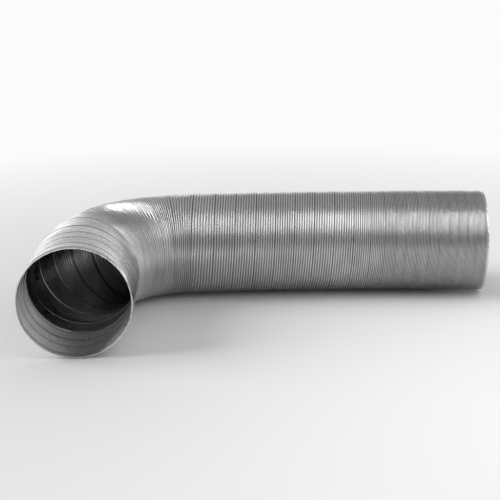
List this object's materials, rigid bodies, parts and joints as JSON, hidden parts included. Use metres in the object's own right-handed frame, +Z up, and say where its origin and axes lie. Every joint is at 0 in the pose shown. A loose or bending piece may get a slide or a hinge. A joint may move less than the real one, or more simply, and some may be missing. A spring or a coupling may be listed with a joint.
{
  "type": "flexible air duct",
  "caption": "Bendable ribbed metal air duct with lock-seamed turns, square-cut tail, one side bend and an open mouth; turns bend and stretch.",
  "frame": {"origin": "centre of the tail opening, on the tube axis", "axes": "+X out of the tail opening, +Z up; the tube runs towards -X and its mouth points towards -Y"},
  "size_m": [0.5555, 0.3277, 0.1301],
  "materials": {
    "strip": "bright rolled",
    "seam": "bright rolled"
  },
  "bodies": {
    "tail": {"tail_sleeve": "strip", "lock_seam_04": "seam"},
    "turn_05": {"strip_turn_05": "strip", "lock_seam_05": "seam"},
    "turn_06": {"strip_turn_06": "strip", "lock_seam_06": "seam"},
    "turn_07": {"strip_turn_07": "strip", "lock_seam_07": "seam"},
    "turn_08": {"strip_turn_08": "strip", "lock_seam_08": "seam"},
    "turn_09": {"strip_turn_09": "strip", "lock_seam_09": "seam"},
    "turn_10": {"strip_turn_10": "strip", "lock_seam_10": "seam"},
    "turn_11": {"strip_turn_11": "strip", "lock_seam_11": "seam"},
    "turn_12": {"strip_turn_12": "strip", "lock_seam_12": "seam"},
    "turn_13": {"strip_turn_13": "strip", "lock_seam_13": "seam"},
    "turn_14": {"strip_turn_14": "strip", "lock_seam_14": "seam"},
    "turn_15": {"strip_turn_15": "strip", "lock_seam_15": "seam"},
    "turn_16": {"strip_turn_16": "strip", "lock_seam_16": "seam"},
    "turn_17": {"strip_turn_17": "strip", "lock_seam_17": "seam"},
    "turn_18": {"strip_turn_18": "strip", "lock_seam_18": "seam"},
    "turn_19": {"strip_turn_19": "strip", "lock_seam_19": "seam"},
    "turn_20": {"strip_turn_20": "strip", "lock_seam_20": "seam"},
    "turn_21": {"strip_turn_21": "strip", "lock_seam_21": "seam"},
    "turn_22": {"strip_turn_22": "strip", "lock_seam_22": "seam"},
    "turn_23": {"strip_turn_23": "strip", "lock_seam_23": "seam"},
    "turn_24": {"strip_turn_24": "strip", "lock_seam_24": "seam"},
    "turn_25": {"strip_turn_25": "strip", "lock_seam_25": "seam"},
    "turn_26": {"strip_turn_26": "strip", "lock_seam_26": "seam"},
    "turn_27": {"strip_turn_27": "strip", "lock_seam_27": "seam"},
    "turn_28": {"strip_turn_28": "strip", "lock_seam_28": "seam"},
    "turn_29": {"strip_turn_29": "strip", "lock_seam_29": "seam"},
    "mouth": {"strip_turn_30": "strip", "lock_seam_30": "seam", "mouth_sleeve": "strip"}
  },
  "joints": [
    {"name": "tail_stretch", "type": "slide", "parent": "tail", "child": "turn_05", "axis": [-1, -0.0025, 0], "range_m": [0, 0.012], "deforming": ["strip_turn_05"]},
    {"name": "tail_stretch_06", "type": "slide", "parent": "turn_05", "child": "turn_06", "axis": [-1, -0.0074, 0], "range_m": [0, 0.012], "deforming": ["strip_turn_06"]},
    {"name": "tail_stretch_07", "type": "slide", "parent": "turn_06", "child": "turn_07", "axis": [-0.9999, -0.0123, 0], "range_m": [0, 0.012], "deforming": ["strip_turn_07"]},
    {"name": "tail_stretch_08", "type": "slide", "parent": "turn_07", "child": "turn_08", "axis": [-0.9999, -0.0172, 0], "range_m": [0, 0.012], "deforming": ["strip_turn_08"]},
    {"name": "tail_stretch_09", "type": "slide", "parent": "turn_08", "child": "turn_09", "axis": [-0.9998, -0.0221, 0], "range_m": [0, 0.012], "deforming": ["strip_turn_09"]},
    {"name": "tail_stretch_10", "type": "slide", "parent": "turn_09", "child": "turn_10", "axis": [-0.9996, -0.0273, 0], "range_m": [0, 0.012], "deforming": ["strip_turn_10"]},
    {"name": "body_squeeze", "type": "slide", "parent": "turn_10", "child": "turn_11", "axis": [-0.9994, -0.0335, 0], "range_m": [-0.006, 0.003], "deforming": ["strip_turn_11"]},
    {"name": "body_sweep", "type": "hinge", "parent": "turn_11", "child": "turn_12", "pos_m": [-0.16302, -0.00223, 0], "axis": [0.0001, 0, 1], "range_deg": [-6, 6], "deforming": ["strip_turn_12"]},
    {"name": "body_lift", "type": "hinge", "parent": "turn_12", "child": "turn_13", "pos_m": [-0.18673, -0.00332, 0], "axis": [-0.0502, 0.9987, 0], "range_deg": [0, 6], "deforming": ["strip_turn_13"]},
    {"name": "body_squeeze_14", "type": "slide", "parent": "turn_13", "child": "turn_14", "axis": [-0.9982, -0.0599, 0], "range_m": [-0.012, 0.006], "deforming": ["strip_turn_14"]},
    {"name": "body_sweep_15", "type": "hinge", "parent": "turn_14", "child": "turn_15", "pos_m": [-0.23762, -0.00637, 0], "axis": [0.0001, 0, 1], "range_deg": [-6, 6], "deforming": ["strip_turn_15"]},
    {"name": "body_lift_16", "type": "hinge", "parent": "turn_15", "child": "turn_16", "pos_m": [-0.26315, -0.00828, 0], "axis": [-0.0793, 0.9969, 0], "range_deg": [0, 6], "deforming": ["strip_turn_16"]},
    {"name": "body_squeeze_17", "type": "slide", "parent": "turn_16", "child": "turn_17", "axis": [-0.996, -0.089, 0], "range_m": [-0.012, 0.006], "deforming": ["strip_turn_17"]},
    {"name": "body_sweep_18", "type": "hinge", "parent": "turn_17", "child": "turn_18", "pos_m": [-0.31415, -0.01284, 0], "axis": [0.0001, 0, 1], "range_deg": [-6, 6], "deforming": ["strip_turn_18"]},
    {"name": "body_lift_19", "type": "hinge", "parent": "turn_18", "child": "turn_19", "pos_m": [-0.33961, -0.01549, 0], "axis": [-0.1084, 0.9941, 0], "range_deg": [0, 6], "deforming": ["strip_turn_19"]},
    {"name": "body_squeeze_20", "type": "slide", "parent": "turn_19", "child": "turn_20", "axis": [-0.993, -0.1181, 0], "range_m": [-0.012, 0.006], "deforming": ["strip_turn_20"]},
    {"name": "mouth_bend", "type": "hinge", "parent": "turn_20", "child": "turn_21", "pos_m": [-0.40974, 0.03989, 0], "axis": [0.0001, 0, 1], "range_deg": [-13.17, 1.58], "deforming": ["strip_turn_21"]},
    {"name": "mouth_bend_22", "type": "hinge", "parent": "turn_21", "child": "turn_22", "pos_m": [-0.45413, 0.02352, 0], "axis": [0.0001, 0, 1], "range_deg": [-14.15, 1.7], "deforming": ["strip_turn_22"]},
    {"name": "mouth_bend_23", "type": "hinge", "parent": "turn_22", "child": "turn_23", "pos_m": [-0.48862, 0.00052, 0], "axis": [0.0001, 0, 1], "range_deg": [-11.44, 1.37], "deforming": ["strip_turn_23"]},
    {"name": "mouth_bend_24", "type": "hinge", "parent": "turn_23", "child": "turn_24", "pos_m": [-0.51251, -0.02365, 0], "axis": [0.0001, 0, 1], "range_deg": [-9.52, 1.14], "deforming": ["strip_turn_24"]},
    {"name": "mouth_bend_25", "type": "hinge", "parent": "turn_24", "child": "turn_25", "pos_m": [-0.53008, -0.04906, 0], "axis": [0.0001, 0, 1], "range_deg": [-9.52, 1.14], "deforming": ["strip_turn_25"]},
    {"name": "mouth_bend_26", "type": "hinge", "parent": "turn_25", "child": "turn_26", "pos_m": [-0.54427, -0.07994, 0], "axis": [0.0001, 0, 1], "range_deg": [-11.44, 1.37], "deforming": ["strip_turn_26"]},
    {"name": "mouth_bend_27", "type": "hinge", "parent": "turn_26", "child": "turn_27", "pos_m": [-0.55361, -0.12033, 0], "axis": [0.0001, 0, 1], "range_deg": [-14.15, 1.7], "deforming": ["strip_turn_27"]},
    {"name": "mouth_bend_28", "type": "hinge", "parent": "turn_27", "child": "turn_28", "pos_m": [-0.55423, -0.16329, 0], "axis": [0.0001, 0, 1], "range_deg": [-5.36, 0.64], "deforming": ["strip_turn_28"]},
    {"name": "mouth_nod", "type": "hinge", "parent": "turn_28", "child": "turn_29", "pos_m": [-0.48723, -0.18737, 0], "axis": [-0.9949, -0.1011, 0], "range_deg": [0, 8], "deforming": ["strip_turn_29"]},
    {"name": "mouth_stretch", "type": "slide", "parent": "turn_29", "child": "mouth", "axis": [0.1011, -0.9949, 0], "range_m": [-0.009, 0.012], "deforming": ["strip_turn_30"]}
  ],
  "couplings": [
    {"joint": "tail_stretch_06", "follows": "tail_stretch", "ratio": 1},
    {"joint": "tail_stretch_07", "follows": "tail_stretch", "ratio": 1},
    {"joint": "tail_stretch_08", "follows": "tail_stretch", "ratio": 1},
    {"joint": "tail_stretch_09", "follows": "tail_stretch", "ratio": 1},
    {"joint": "tail_stretch_10", "follows": "tail_stretch", "ratio": 1},
    {"joint": "body_squeeze_14", "follows": "body_squeeze", "ratio": 2},
    {"joint": "body_sweep_15", "follows": "body_sweep", "ratio": 1},
    {"joint": "body_lift_16", "follows": "body_lift", "ratio": 1},
    {"joint": "body_squeeze_17", "follows": "body_squeeze", "ratio": 2},
    {"joint": "body_sweep_18", "follows": "body_sweep", "ratio": 1},
    {"joint": "body_lift_19", "follows": "body_lift", "ratio": 1},
    {"joint": "body_squeeze_20", "follows": "body_squeeze", "ratio": 2},
    {"joint": "mouth_bend_22", "follows": "mouth_bend", "ratio": 1.0743},
    {"joint": "mouth_bend_23", "follows": "mouth_bend", "ratio": 0.86856},
    {"joint": "mouth_bend_24", "follows": "mouth_bend", "ratio": 0.72306},
    {"joint": "mouth_bend_25", "follows": "mouth_bend", "ratio": 0.72306},
    {"joint": "mouth_bend_26", "follows": "mouth_bend", "ratio": 0.86856},
    {"joint": "mouth_bend_27", "follows": "mouth_bend", "ratio": 1.0743},
    {"joint": "mouth_bend_28", "follows": "mouth_bend", "ratio": 0.40716}
  ]
}
